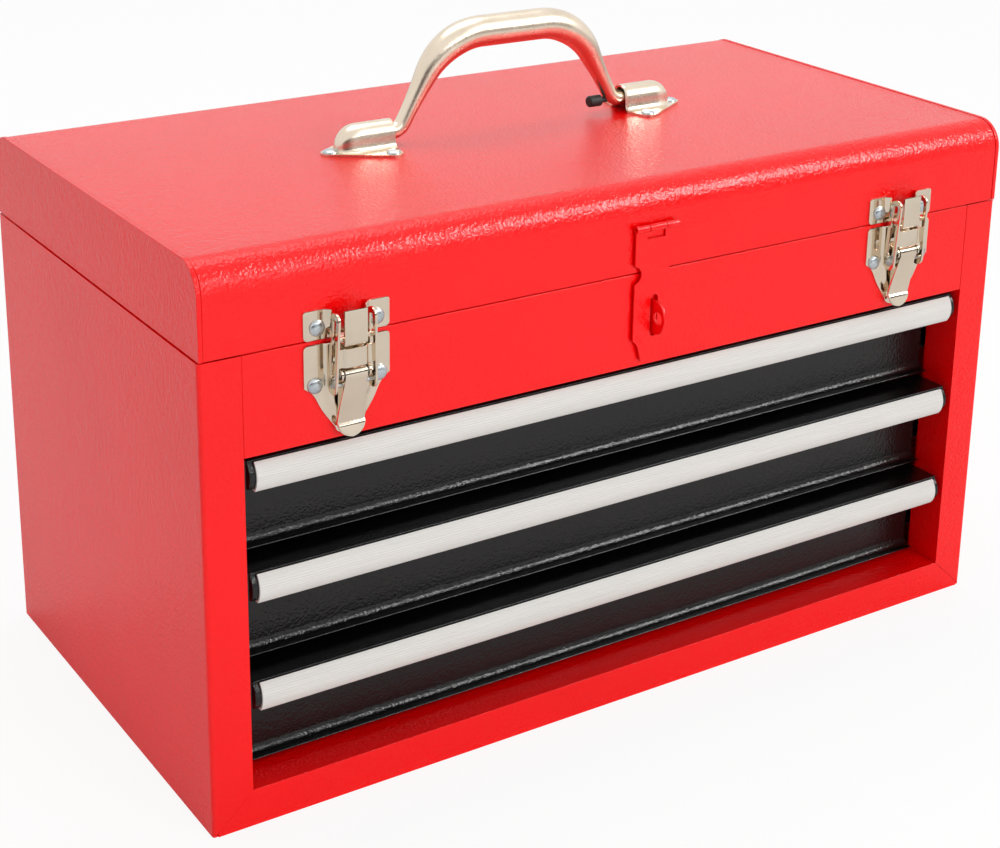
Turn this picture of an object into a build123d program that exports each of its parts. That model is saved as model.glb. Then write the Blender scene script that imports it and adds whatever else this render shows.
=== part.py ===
from build123d import *
import os
from math import cos, radians, sin, tan

# A portable steel tool box: a body with three drawers and a top till under a hinged lid.
# Millimetres. X runs along the width, the front faces -Y, +Z is up, and the origin is at
# the middle of the body's footprint, on the surface that it stands on.

# Body
width = 520.0
depth = 273.0
seam_height = 257.0
sheet = 0.8
corner_radius = 2.5
stile_width = 22.5
rail_height = 20.8
header_height = 53.0
jamb_depth = 25.0
sill_depth = 32.0
sill_lip = 8.0
header_depth = 18.0
back_flange = 16.0
rim_width = 8.0
joggle_lap = 10.0
till_flange = 10.0

# Lid
lid_height = 48.0
lid_bend = 16.0
lid_inset = 0.6
cap_rim = 2.4
cap_proud = 0.35
lid_hem = 6.0
lid_gap = 0.6

# Rear hinge
hinge_margin = 26.0
hinge_knuckles = 13
hinge_knuckle_radius = 2.3
hinge_offset = 2.6
hinge_pin_radius = 1.4
hinge_leaf_height = 13.0
hinge_leaf_sheet = 0.9

# Drawers
drawer_count = 3
drawer_top_gap = 3.2
drawer_bottom_gap = 3.2
drawer_gap = 4.4
drawer_recess = 26.0
drawer_side_gap = 3.0
tray_side_gap = 13.5
tray_back_gap = 31.0
tray_wall_drop = 10.0
tray_bend = 5.0
tray_lip = 6.5
tray_hem = 6.0
floor_overlap = 12.0

# Drawer trim and the rolled bead behind it
trim_height = 15.8
trim_crown = 3.2
trim_wall = 1.1
trim_return = 2.6
trim_proud = 0.6
trim_inset = 3.5
bead_cover = 0.8
bead_back = 5.4

# Drawer slides
slide_width = 10.0
slide_height = 12.0
slide_sheet = 1.0
slide_lift = 14.0
slide_end_gap = 10.0
runner_tail = 6.0

# Latches, measured from the seam (z) and the front face (y)
latch_inset = 78.5
latch_width = 47.6
latch_plate = 1.2
latch_corner = 2.5
latch_reach = 11.0
strike_height = 16.0
strike_strip = 4.0
tongue_width = 12.6
tongue_top = 16.5
tongue_drop = 1.8
ear_gap = 18.2
base_drop = 1.5
base_shoulder = 23.5
base_length = 51.0
base_foot = 14.0
lever_pivot_reach = 7.8
lever_pivot_drop = 17.0
lever_roll = 3.2
lever_pin_radius = 1.5
lever_top_width = 12.4
lever_bottom_width = 15.5
lever_length = 26.5
lever_lean = 6.2
lever_tab = 7.6
tab_flare = 1.4
lever_cheek = 0.62
lug_inner = 7.0
lug_sheet = 1.2
lug_radius = 3.0
link_pivot_reach = 6.6
link_pivot_drop = 22.6
link_pin_radius = 1.2
link_inner = 10.2
link_sheet = 1.4
link_top = 15.5
link_depth = 8.8
link_slot = 3.8
link_web_top = 3.4
link_web_height = 9.6
rivet_radius = 4.25
rivet_dome = 2.2
strike_rivet_x = 16.4
strike_rivet_z = 6.9
base_rivet_x = 17.9
base_rivet_drop = 22.7

# Hasp and staple, measured from the seam and the front face
hasp_offset = 4.0
hasp_width = 26.8
hasp_sheet = 1.2
hasp_stand = 1.4
hasp_pin_height = 25.7
hasp_pin_reach = 2.8
hasp_pin_radius = 0.9
hasp_knuckle_radius = 2.0
hasp_knuckle_span = 28.0
hasp_center_knuckle = 10.8
hasp_window_drop = 6.2
hasp_waist_radius = 5.0
hasp_waist = 18.2
hasp_shoulder = 37.0
hasp_length = 50.0
hasp_foot = 15.0
hasp_slot_top = 12.5
hasp_slot_width = 4.6
hasp_leaf_width = 24.0
hasp_leaf_height = 16.0
hasp_leaf_sheet = 1.0
staple_sheet = 2.0
staple_reach = 13.0
staple_height = 19.0
staple_center_drop = 25.0
staple_eye_radius = 3.5
staple_eye_reach = 7.0

# Handle, measured from the lid's top
handle_span = 244.0
bracket_sheet = 1.4
bracket_mouth = 79.0
bracket_tunnel = 22.0
bracket_dome_radius = 7.7
bracket_ear_x = 87.0
bracket_ear_y = 18.0
bracket_ear_radius = 5.6
bracket_tip_inset = 4.4
handle_axis = 8.0
handle_foot_radius = 4.6
handle_foot_length = 19.0
handle_grip_radius = 9.0
handle_rise = 51.0
grip_half = 20.0
handle_bend = 41.0
handle_elbow = 9.0
leg_angle = 60.0
handle_steps = 5
grip_taper = 0.25
handle_rivet_radius = 4.2
handle_rivet_dome = 1.8
stop_head_radius = 3.4
stop_head_length = 9.0
stop_stem_radius = 1.7
stop_far_end = 56.0

# Clearances
seam_gap = 0.2
running_gap = 0.05
slide_gap = 0.3
flat_gap = 0.4

front = -depth / 2
back = depth / 2
half = width / 2
lid_bottom = seam_height + lid_gap
lid_top = seam_height + lid_height
opening_half = half - stile_width
opening_top = seam_height - header_height
hinge_length = width - 2 * hinge_margin
drawer_space = opening_top - rail_height - drawer_top_gap - drawer_bottom_gap
drawer_pitch = (drawer_space + drawer_gap) / drawer_count
drawer_height = drawer_pitch - drawer_gap
tray_half_width = opening_half - tray_side_gap
tray_length = depth - drawer_recess - tray_back_gap
tray_wall_height = drawer_height - tray_wall_drop
slide_length = tray_length - sheet - slide_end_gap
through = 2 * depth


def box(x0, x1, y0, y1, z0, z1):
    """A box between two corners."""
    middle = Pos((x0 + x1) / 2, (y0 + y1) / 2, (z0 + z1) / 2)
    return middle * Box(x1 - x0, y1 - y0, z1 - z0)


def along_x(sketch, x0, x1):
    """Extrudes a sketch, drawn as (y, z), from x0 to x1."""
    return extrude(Pos(x0, 0, 0) * (Plane.YZ * sketch), amount=x1 - x0)


def along_y(sketch, y0, y1):
    """Extrudes a sketch, drawn as (x, z), from y0 to y1."""
    return extrude(Pos(0, y1, 0) * (Plane.XZ * sketch), amount=y1 - y0)


def polygon(*points):
    """A closed face through the points, where they are."""
    return make_face(Polyline(*points, close=True))


def rod_x(radius, x0, x1, y, z):
    """A round bar along X."""
    return along_x(Pos(y, z) * Circle(radius), x0, x1)


def mirrored(solid):
    """The same piece on the other side of the middle plane."""
    return mirror(solid, about=Plane.YZ)


def both_sides(solid):
    """A piece together with its mirror image."""
    return [solid, mirrored(solid)]


def dome(radius, height):
    """A domed rivet head that stands on the XY plane."""
    ball = (radius**2 + height**2) / (2 * height)
    cap = Pos(0, 0, height - ball) * Sphere(ball)
    return cap & (Pos(0, 0, ball) * Box(4 * ball, 4 * ball, 2 * ball))


def front_dome(x, y, z):
    """A latch rivet head that faces the front."""
    return Pos(x, y, z) * Rot(90, 0, 0) * dome(rivet_radius, rivet_dome)


# ---------------------------------------------------------------- body


def body_ring(z0, z1):
    """The rounded outline of the body's walls, as a hollow prism."""
    outer = RectangleRounded(width, depth, corner_radius)
    inner = RectangleRounded(width - 2 * sheet, depth - 2 * sheet, corner_radius - sheet)
    return Pos(0, 0, z0) * extrude(outer - inner, amount=z1 - z0)


def body_inside(z0, z1):
    """A slab that fills the inside of the body's walls."""
    inner = RectangleRounded(width - 2 * sheet, depth - 2 * sheet, corner_radius - sheet)
    return Pos(0, 0, z0) * extrude(inner, amount=z1 - z0)


def side_panel():
    """Right side: wall, front stile with its jamb, back flange and top rim, in one sheet."""
    ring = body_ring(0, seam_height)
    panel = ring & (
        box(opening_half, half, front, 0, 0, seam_height)
        + box(half - back_flange, half, 0, back, 0, seam_height)
    )
    jamb_top = opening_top
    panel += box(opening_half, opening_half + sheet, front, front + jamb_depth, sheet, jamb_top)
    panel += box(half - rim_width, half - sheet / 2, front + sheet, back - sheet,
                 seam_height - sheet, seam_height)
    below = -sheet
    mitre = polygon((opening_half - sheet, below), (opening_half - sheet, rail_height),
                    (opening_half, rail_height), (half, 0), (half, below))
    return panel - along_y(mitre, front - sheet, front + sheet)


def bottom_panel():
    """Floor, front rail with mitred ends, and the sill behind it."""
    tip = half - corner_radius
    share = (half - tip) / stile_width
    edge = polygon((-tip + seam_gap, 0), (tip - seam_gap, 0), (tip - seam_gap, share * rail_height),
                   (opening_half - seam_gap, rail_height), (-opening_half + seam_gap, rail_height),
                   (-tip + seam_gap, share * rail_height))
    panel = along_y(edge, front, front + sheet)
    panel += body_inside(0, sheet)
    sill_half = opening_half - seam_gap
    sill_back = front + sill_depth
    panel += box(-sill_half, sill_half, front, sill_back, rail_height - sheet, rail_height)
    panel += box(-sill_half, sill_half, sill_back - sheet, sill_back,
                 rail_height - sill_lip, rail_height)
    return panel


def front_panel():
    """The panel above the drawers, with its header flange, top rim and joggled ends."""
    end = opening_half - seam_gap
    panel = box(-end, end, front, front + sheet, opening_top, seam_height)
    panel += box(-end, end, front, front + header_depth, opening_top, opening_top + sheet)
    panel += box(-end, end, front, front + rim_width, seam_height - sheet, seam_height)
    lap = box(end - sheet, end + joggle_lap, front + sheet, front + 2 * sheet,
              opening_top + sheet, seam_height - sheet)
    for strip in both_sides(lap):
        panel += strip
    return panel


def back_panel():
    """The back, between the side panels' flanges, with joggled ends and a top rim."""
    end = half - back_flange - seam_gap
    panel = box(-end, end, back - sheet, back, 0, seam_height)
    panel += box(-end, end, back - rim_width, back, seam_height - sheet, seam_height)
    lap = box(end - sheet, end + joggle_lap, back - 2 * sheet, back - sheet,
              sheet, seam_height - sheet)
    for strip in both_sides(lap):
        panel += strip
    return panel


def till_floor():
    """The shelf between the till and the drawers, resting on the header flange."""
    side = half - sheet
    y0 = front + 2 * sheet
    y1 = back - 2 * sheet
    z0 = opening_top + sheet
    floor = body_inside(z0, z0 + sheet) & box(-side, side, y0, y1, z0, z0 + sheet)
    flange = box(side - sheet, side, front + jamb_depth, y1 - sheet, z0 - till_flange, z0)
    for strip in both_sides(flange):
        floor += strip
    return floor


# ---------------------------------------------------------------- lid


def lid_outline(grow):
    """The lid's end profile as (y, z), moved outward by grow."""
    y0 = front - grow
    y1 = back + grow
    top = lid_top + grow
    bend = lid_bend + grow
    outline = make_face(Polyline((y0, lid_bottom), (y1, lid_bottom), (y1, top), (y0, top), close=True))
    upper = outline.vertices().sort_by(Axis.Y)[-2:]
    return fillet(upper, bend)


def lid_shell():
    """Front, top and back of the lid in one bent sheet, with hems at the lower edges."""
    end = half - lid_inset - cap_rim - seam_gap
    shell = along_x(lid_outline(0) - lid_outline(-sheet), -end, end)
    inner_bottom = box(-end, end, front + sheet, back - sheet, lid_bottom, lid_bottom + sheet)
    shell -= inner_bottom
    shell += box(-end, end, front, front + lid_hem, lid_bottom, lid_bottom + sheet)
    shell += box(-end, end, back - lid_hem, back, lid_bottom, lid_bottom + sheet)
    return shell


def lid_end():
    """Right end cap: a flat plate with a slightly proud rim and an inner flange."""
    x1 = half - lid_inset
    plate = along_x(lid_outline(cap_proud), x1 - sheet, x1)
    rim = along_x(lid_outline(cap_proud) - lid_outline(-sheet), x1 - cap_rim, x1)
    tongue = along_x(lid_outline(-sheet) - lid_outline(-2 * sheet), x1 - cap_rim - lid_hem, x1)
    cap = plate + rim + tongue
    cap -= box(0, x1 - sheet, front + sheet, back - sheet, lid_bottom, lid_bottom + sheet)
    cap += box(x1 - lid_hem, x1, front + lid_hem + flat_gap, back - lid_hem - flat_gap,
               lid_bottom, lid_bottom + sheet)
    return cap


# ---------------------------------------------------------------- rear hinge

hinge_y = back + hinge_offset
hinge_z = seam_height + lid_gap / 2


def hinge_leaf(first, side):
    """One leaf with every second knuckle; side is 1 for the lid's leaf and -1 for the body's."""
    pitch = hinge_length / hinge_knuckles
    start = -hinge_length / 2
    clear = hinge_knuckle_radius + flat_gap
    z0, z1 = sorted((hinge_z + side * clear, hinge_z + side * hinge_leaf_height))
    leaf = box(start, -start, back, back + hinge_leaf_sheet, z0, z1)
    for index in range(first, hinge_knuckles, 2):
        x0 = start + index * pitch + seam_gap
        x1 = x0 + pitch - 2 * seam_gap
        z0, z1 = sorted((hinge_z, hinge_z + side * (clear + sheet)))
        leaf += box(x0, x1, back, back + hinge_leaf_sheet, z0, z1)
        leaf += rod_x(hinge_knuckle_radius, x0, x1, hinge_y, hinge_z)
    return leaf - rod_x(hinge_pin_radius + running_gap, start, -start, hinge_y, hinge_z)


def hinge_pin():
    """The hinge's wire pin."""
    return rod_x(hinge_pin_radius, -hinge_length / 2, hinge_length / 2, hinge_y, hinge_z)


# ---------------------------------------------------------------- drawers


def trim_top(index):
    """Height of a drawer trim's upper edge; drawer 0 is the top one."""
    return opening_top - drawer_top_gap - bead_cover - index * drawer_pitch


def crown(shift, top, bottom):
    """The convex face of a trim, as an arc moved back by shift."""
    edge = front - trim_proud + trim_crown + shift
    middle = (top + bottom) / 2
    return ThreePointArc((edge, top), (edge - trim_crown, middle), (edge, bottom))


def drawer_tray(index):
    """Drawer: front with a forward flange and bead above, a curved lip below, and the tray."""
    top = trim_top(index) + bead_cover
    low = top - drawer_height
    face = front + drawer_recess
    end = opening_half - drawer_side_gap
    section = polygon((face, top), (face, low + sheet), (face - tray_lip, low + sheet),
                      (face - tray_lip, low), (face + floor_overlap, low),
                      (face + floor_overlap, low + sheet), (face + sheet, low + sheet),
                      (face + sheet, top))
    section = fillet(section.vertices().sort_by_distance((face, low + sheet))[0], tray_bend)
    panel = along_x(section, -end, end)
    shelf_front = front + bead_back
    panel += box(-end, end, shelf_front - sheet, face + sheet, top - sheet, top)
    arc = crown(trim_wall, trim_top(index) - trim_wall, trim_top(index) - trim_height + trim_wall)
    back_line = Polyline(arc @ 1, (shelf_front, (arc @ 1).Y), (shelf_front, top), ((arc @ 0).X, top),
                         arc @ 0)
    panel += along_x(make_face([arc, back_line]), -end, end)
    tail = face + tray_length
    side = box(tray_half_width - sheet, tray_half_width, face + sheet / 2, tail,
               low, low + tray_wall_height)
    side += box(tray_half_width - tray_hem, tray_half_width, face + sheet / 2, tail,
                low + tray_wall_height - sheet, low + tray_wall_height)
    for wall in both_sides(side):
        panel += wall
    panel += box(-tray_half_width, tray_half_width, tail - sheet, tail, low, low + tray_wall_height)
    panel += box(-tray_half_width, tray_half_width, face + sheet, tail, low, low + sheet)
    return panel


def drawer_trim(index):
    """Convex extruded trim that clips over the drawer's bead."""
    top = trim_top(index)
    bottom = top - trim_height
    outer = crown(0, top, bottom)
    inner = crown(trim_wall, top - trim_wall, bottom + trim_wall)
    rear = (outer @ 0).X + trim_return
    outline = [
        outer,
        Polyline(outer @ 1, (rear, bottom), (rear, bottom + trim_wall), inner @ 1),
        inner,
        Polyline(inner @ 0, ((inner @ 0).X, top), outer @ 0),
    ]
    end = opening_half - drawer_side_gap - trim_inset
    return along_x(make_face(outline), -end, end)


def slide_bottom(index):
    """Height of a drawer's slide above the ground."""
    return trim_top(index) + bead_cover - drawer_height + slide_lift


def drawer_slides(index):
    """The pair of channels on the drawer's sides."""
    z0 = slide_bottom(index)
    y0 = front + drawer_recess + sheet
    x0 = tray_half_width
    solid = box(x0, x0 + slide_width, y0, y0 + slide_length, z0, z0 + slide_height)
    solid -= box(x0 + slide_sheet, x0 + slide_width, y0, y0 + slide_length,
                 z0 + slide_sheet, z0 + slide_height - slide_sheet)
    return both_sides(solid)


def runner(index):
    """Right-hand channel on the side panel that carries a drawer's slide."""
    low = slide_bottom(index) - slide_gap
    high = slide_bottom(index) + slide_height + slide_gap
    x0 = tray_half_width + slide_sheet
    x1 = half - sheet
    y0 = front + drawer_recess + 2 * sheet
    stop = y0 + slide_length + slide_gap
    y1 = stop + runner_tail
    channel = box(x0, x1, y0, y1, low - slide_sheet, high + slide_sheet)
    channel -= box(x0 - slide_sheet, x1 - slide_sheet, y0 - sheet, stop, low, high)
    return channel


# ---------------------------------------------------------------- latches


def strike():
    """Keeper on the lid: two ears, a joining strip and an upward hook in front of them."""
    w = latch_width / 2
    plate = box(-w, w, -latch_plate, 0, lid_gap, strike_height)
    plate = fillet(plate.edges().filter_by(Axis.Y), latch_corner)
    plate -= box(-ear_gap / 2, ear_gap / 2, -through, through, lid_gap + strike_strip, through)
    inner = latch_reach - latch_plate
    hook = polygon((-latch_plate / 2, lid_gap), (-latch_reach, -tongue_drop), (-latch_reach, tongue_top),
                   (-inner, tongue_top), (-inner, latch_plate - tongue_drop),
                   (-latch_plate / 2, lid_gap + latch_plate))
    return plate + along_x(hook, -tongue_width / 2, tongue_width / 2)


def base_outline():
    """The base plate as (x, z): square shoulders that sweep in to a narrow rounded foot."""
    w = latch_width / 2
    foot = base_foot / 2
    drop = base_length - base_shoulder
    sweep = [(w, -base_shoulder)]
    sweep.append((w - (w - foot) * 0.30, -base_shoulder - drop * 0.16))
    sweep.append((w - (w - foot) * 0.58, -base_shoulder - drop * 0.48))
    sweep.append((foot, -base_length + foot * 0.6))
    right = Spline(*sweep)
    left = Spline(*[(-x, z) for x, z in reversed(sweep)])
    toe = ThreePointArc(right @ 1, (0, -base_length), left @ 0)
    shoulders = Polyline(left @ 1, (-w, -base_drop), (w, -base_drop), right @ 0)
    return make_face([right, toe, left, shoulders])


def latch_base():
    """Base plate on the body with two lugs that hold the lever's pin."""
    plate = along_y(base_outline(), -latch_plate, 0)
    corners = plate.edges().filter_by(Axis.Y).sort_by(Axis.Z)[-2:]
    plate = fillet(corners, latch_corner)
    lug = Pos(-lever_pivot_reach, -lever_pivot_drop) * Circle(lug_radius)
    lug += Pos(-lever_pivot_reach / 2, -lever_pivot_drop) * Rectangle(lever_pivot_reach, 2 * lug_radius)
    lug -= Pos(-lever_pivot_reach, -lever_pivot_drop) * Circle(lever_pin_radius + running_gap)
    for solid in both_sides(along_x(lug, lug_inner, lug_inner + lug_sheet)):
        plate += solid
    return plate


def lever_pin():
    """The pin in the base's lugs."""
    reach = lug_inner + lug_sheet + seam_gap
    return rod_x(lever_pin_radius, -reach, reach, -lever_pivot_reach, -lever_pivot_drop)


def latch_lever():
    """Lever: rolled round its pin, a widening plate with side flanges, and a flared tab."""
    top = -lever_pivot_drop
    bend = top - lever_length
    tip = bend - lever_tab
    knee = -latch_reach + lever_lean
    toe = knee - tab_flare
    plate = polygon(
        (-latch_reach, top), (knee, bend), (toe, tip), (toe + latch_plate, tip),
        (knee + latch_plate, bend), (-latch_reach + latch_plate, top))
    a = lever_top_width / 2
    b = lever_bottom_width / 2
    outline = polygon((-a, top + lever_roll), (-b, bend), (-b, tip + b * 0.9), (b, tip + b * 0.9),
                      (b, bend), (a, top + lever_roll))
    outline += Pos(0, tip + b * 0.9) * Ellipse(b, b * 0.9)
    lever = along_x(plate, -b, b) & along_y(outline, -through, through)
    lever += rod_x(lever_roll, -a, a, -lever_pivot_reach, top)
    cheek_y = -latch_reach + latch_plate / 2 + lever_lean * lever_cheek
    cheek_z = top - lever_length * lever_cheek
    cheek = polygon((-latch_reach + latch_plate / 2, top), (cheek_y, cheek_z),
                    (-link_pivot_reach, -link_pivot_drop - 2.4 * link_pin_radius),
                    (-link_pivot_reach + 2 * link_pin_radius, -link_pivot_drop - link_pin_radius),
                    (-link_pivot_reach + 2 * link_pin_radius, top))
    for solid in both_sides(along_x(cheek, a - latch_plate, a)):
        lever += solid
    lever -= rod_x(lever_pin_radius + running_gap, -b, b, -lever_pivot_reach, top)
    return lever - rod_x(link_pin_radius + running_gap, -b, b, -link_pivot_reach, -link_pivot_drop)


def link_pin():
    """The pin that joins the lever to the draw link."""
    reach = link_inner + link_sheet + seam_gap
    return rod_x(link_pin_radius, -reach, reach, -link_pivot_reach, -link_pivot_drop)


def draw_link():
    """Draw link: two slotted side arms, a web between them and a raised pad on the web."""
    low = -link_pivot_drop - link_depth / 2
    middle = (low + link_top) / 2
    arm = Pos(-link_pivot_reach, middle) * RectangleRounded(
        link_depth, link_top - low, link_depth / 2 * 0.98)
    slot_low = -link_pivot_drop + link_depth / 2
    slot_high = link_top - link_depth / 2 + link_slot / 2
    slot_length = slot_high - slot_low
    arm -= Pos(-link_pivot_reach, slot_low + slot_length / 2) * RectangleRounded(
        link_slot, slot_length, link_slot / 2 * 0.98)
    arm -= Pos(-link_pivot_reach, -link_pivot_drop) * Circle(link_pin_radius + running_gap)
    web_back = -link_pivot_reach - link_slot / 2
    web_low = -link_web_top - link_web_height
    pad = tongue_width / 2
    link = box(-link_inner, link_inner, -latch_reach + latch_plate, web_back, web_low, -link_web_top)
    link += box(-pad, pad, -latch_reach, -latch_reach + latch_plate, web_low, -link_web_top)
    for solid in both_sides(along_x(arm, link_inner, link_inner + link_sheet)):
        link += solid
    return link


def strike_rivets():
    """The keeper's two rivet heads."""
    return both_sides(front_dome(strike_rivet_x, -latch_plate, strike_rivet_z))


def base_rivets():
    """The base's two rivet heads."""
    return both_sides(front_dome(base_rivet_x, -latch_plate, -base_rivet_drop))


# ---------------------------------------------------------------- hasp


def hasp_knuckle(x0, x1):
    """A stretch of the hasp's rolled hinge."""
    return rod_x(hasp_knuckle_radius, x0, x1, -hasp_pin_reach, hasp_pin_height)


def hasp_bore():
    """Room for the hasp's pin."""
    radius = hasp_pin_radius + running_gap
    return rod_x(radius, -hasp_width, hasp_width, -hasp_pin_reach, hasp_pin_height)


def hasp_leaf():
    """The small leaf on the lid, behind the hasp, whose tab is rolled round the pin."""
    tab = hasp_center_knuckle / 2
    wide = hasp_leaf_width / 2
    top = hasp_pin_height - hasp_knuckle_radius - flat_gap
    tab_back = hasp_stand
    leaf = box(-wide, wide, -hasp_leaf_sheet, 0, top - hasp_leaf_height, top)
    leaf += box(-tab, tab, -tab_back, 0, top - hasp_leaf_sheet, hasp_pin_height)
    leaf += hasp_knuckle(-tab, tab)
    return leaf - hasp_bore()


def hasp_pin():
    """The hasp's pin."""
    reach = hasp_knuckle_span / 2
    return rod_x(hasp_pin_radius, -reach, reach, -hasp_pin_reach, hasp_pin_height)


def hasp_plate():
    """The swinging hasp: waisted at the seam, tapered at the foot and slotted for the staple."""
    w = hasp_width / 2
    foot = hasp_foot / 2
    bulge = (w + foot) / 2 - (hasp_length - hasp_shoulder) * 0.12
    right = ThreePointArc((w, -hasp_shoulder), (bulge, -(hasp_shoulder + hasp_length) / 2 - 1.5),
                          (foot, -hasp_length))
    left = ThreePointArc((-foot, -hasp_length), (-bulge, -(hasp_shoulder + hasp_length) / 2 - 1.5),
                         (-w, -hasp_shoulder))
    upper = Polyline(left @ 1, (-w, hasp_pin_height), (w, hasp_pin_height), right @ 0)
    outline = make_face([right, Line(right @ 1, left @ 0), left, upper])
    notch = hasp_waist / 2 + hasp_waist_radius
    for side in (-1, 1):
        outline -= Pos(side * notch, 0) * Circle(hasp_waist_radius)
    slot = hasp_slot_width / 2
    outline -= Pos(0, -hasp_slot_top - slot) * Circle(slot)
    outline -= polygon((-slot, -hasp_slot_top - slot), (slot, -hasp_slot_top - slot),
                       (slot, -hasp_length - slot), (-slot, -hasp_length - slot))
    window = hasp_center_knuckle / 2 + flat_gap
    sill = hasp_pin_height - hasp_window_drop
    top = hasp_pin_height + slot
    outline -= polygon((-window, sill), (window, sill), (window, top), (-window, top))
    plate = along_y(outline, -hasp_stand - hasp_sheet, -hasp_stand)
    for solid in both_sides(hasp_knuckle(window, hasp_knuckle_span / 2)):
        plate += solid
    return plate - hasp_bore()


def hasp_staple():
    """The padlock eye on the body, a plate that stands out through the hasp's slot."""
    rise = staple_height / 2
    round_part = staple_reach * 0.55
    eye = Pos(round_part - staple_reach, -staple_center_drop) * Ellipse(round_part, rise)
    square_part = staple_reach - round_part
    eye += Pos(-square_part / 2, -staple_center_drop) * Rectangle(square_part, staple_height)
    eye -= Pos(-staple_eye_reach, -staple_center_drop) * Circle(staple_eye_radius)
    eye -= Pos(staple_reach, -staple_center_drop) * Rectangle(2 * staple_reach, 2 * staple_height)
    return along_x(eye, -staple_sheet / 2, staple_sheet / 2)


# ---------------------------------------------------------------- handle


def bracket_hump():
    """The domed tunnel of a bracket, on the right-hand side, standing on its base."""
    straight_end = bracket_mouth + bracket_tunnel
    dome_end = handle_span / 2 - bracket_tip_inset - bracket_ear_radius * 0.6
    dome_length = dome_end - straight_end
    r = bracket_dome_radius
    oval = Pos(straight_end, 0) * Ellipse(dome_length, r)
    upper = Pos(straight_end, r) * Rectangle(2 * dome_length, 2 * r)
    lump = revolve(oval & upper, Axis.X, 360)
    lump += rod_x(r, bracket_mouth, straight_end, 0, 0)
    skirt = oval + Pos((bracket_mouth + straight_end) / 2, 0) * Rectangle(bracket_tunnel, 2 * r)
    return Pos(0, 0, handle_axis) * lump + extrude(skirt, amount=handle_axis)


def handle_bracket():
    """Right bracket: a three-cornered base plate with a tunnel for the handle's foot."""
    tip = handle_span / 2 - bracket_ear_radius
    spots = [(tip, 0), (bracket_ear_x, bracket_ear_y), (bracket_ear_x, -bracket_ear_y)]
    ears = [Pos(x, y) * Circle(bracket_ear_radius) for x, y in spots]
    base = make_hull([edge for ear in ears for edge in ear.edges()])
    base = extrude(base, amount=bracket_sheet)
    base -= box(0, bracket_mouth, -through, through, -sheet, handle_rise)
    hollow = rod_x(handle_foot_radius + running_gap, bracket_mouth - sheet,
                   bracket_mouth + bracket_tunnel, 0, handle_axis)
    solid = base + bracket_hump() - hollow
    return solid & box(bracket_mouth, handle_span / 2, -through, through, 0, handle_rise)


def handle_rivets():
    """Six rivet heads, three on each bracket."""
    tip = handle_span / 2 - bracket_ear_radius + sheet
    heads = []
    for x, y in ((tip, 0), (bracket_ear_x, bracket_ear_y), (bracket_ear_x, -bracket_ear_y)):
        head = Pos(x, y, bracket_sheet) * dome(handle_rivet_radius, handle_rivet_dome)
        heads += both_sides(head - bracket_hump())
    return heads


def handle_stations():
    """Places along the right half: (x, z, slope in degrees, radius), from middle to foot."""
    top = handle_axis + handle_rise
    grip = handle_grip_radius
    slim = handle_foot_radius
    full = radians(leg_angle)
    bend_x = grip_half + handle_bend * sin(full)
    bend_z = top - handle_bend * (1 - cos(full))
    elbow_z = handle_axis + handle_elbow * (1 - cos(full))
    elbow_x = bend_x + (bend_z - elbow_z) / tan(full)
    stations = [(0.0, top, 0.0, grip)]
    for step in range(handle_steps + 1):
        share = step / handle_steps
        a = full * share
        x = grip_half + handle_bend * sin(a)
        z = top - handle_bend * (1 - cos(a))
        stations.append((x, z, leg_angle * share, grip - (grip - slim) * grip_taper * share**2))
    for step in range(1, handle_steps + 1):
        share = step / handle_steps
        x = bend_x + (elbow_x - bend_x) * share
        z = bend_z + (elbow_z - bend_z) * share
        part = grip_taper + (1 - grip_taper) * share
        stations.append((x, z, leg_angle, grip - (grip - slim) * part))
    for step in range(1, handle_steps + 1):
        share = 1 - step / handle_steps
        a = full * share
        x = elbow_x + handle_elbow * (sin(full) - sin(a))
        z = handle_axis + handle_elbow * (1 - cos(a))
        stations.append((x, z, leg_angle * share, slim))
    return stations


def handle_bar():
    """The bail: a grip that tapers down both legs to feet that turn in their brackets."""
    stations = handle_stations()
    rings = []
    for x, z, angle, radius in stations:
        rings.append(Pos(x, 0, z) * Rot(0, 90 + angle, 0) * Circle(radius))
    side = loft(rings, ruled=True)
    foot_x = stations[-1][0]
    side += rod_x(handle_foot_radius, foot_x, bracket_mouth + handle_foot_length, 0, handle_axis)
    return side + mirrored(side)


def handle_stop(bar):
    """Small rubber buffer on a stem, on the inner side of the right foot, in line with it."""
    near = stop_far_end + stop_head_length
    head = rod_x(stop_head_radius, stop_far_end, near, 0, handle_axis)
    head = fillet(head.edges().filter_by(GeomType.CIRCLE), stop_head_radius * 0.35)
    stem = rod_x(stop_stem_radius, near - sheet, bracket_mouth - handle_elbow / 2, 0, handle_axis)
    return head + stem - bar


# ---------------------------------------------------------------- all pieces


def moved(pieces, x, y, z):
    """Moves one solid, or a list of them, to its place."""
    if isinstance(pieces, list):
        return [Pos(x, y, z) * piece for piece in pieces]
    return Pos(x, y, z) * pieces


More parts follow.
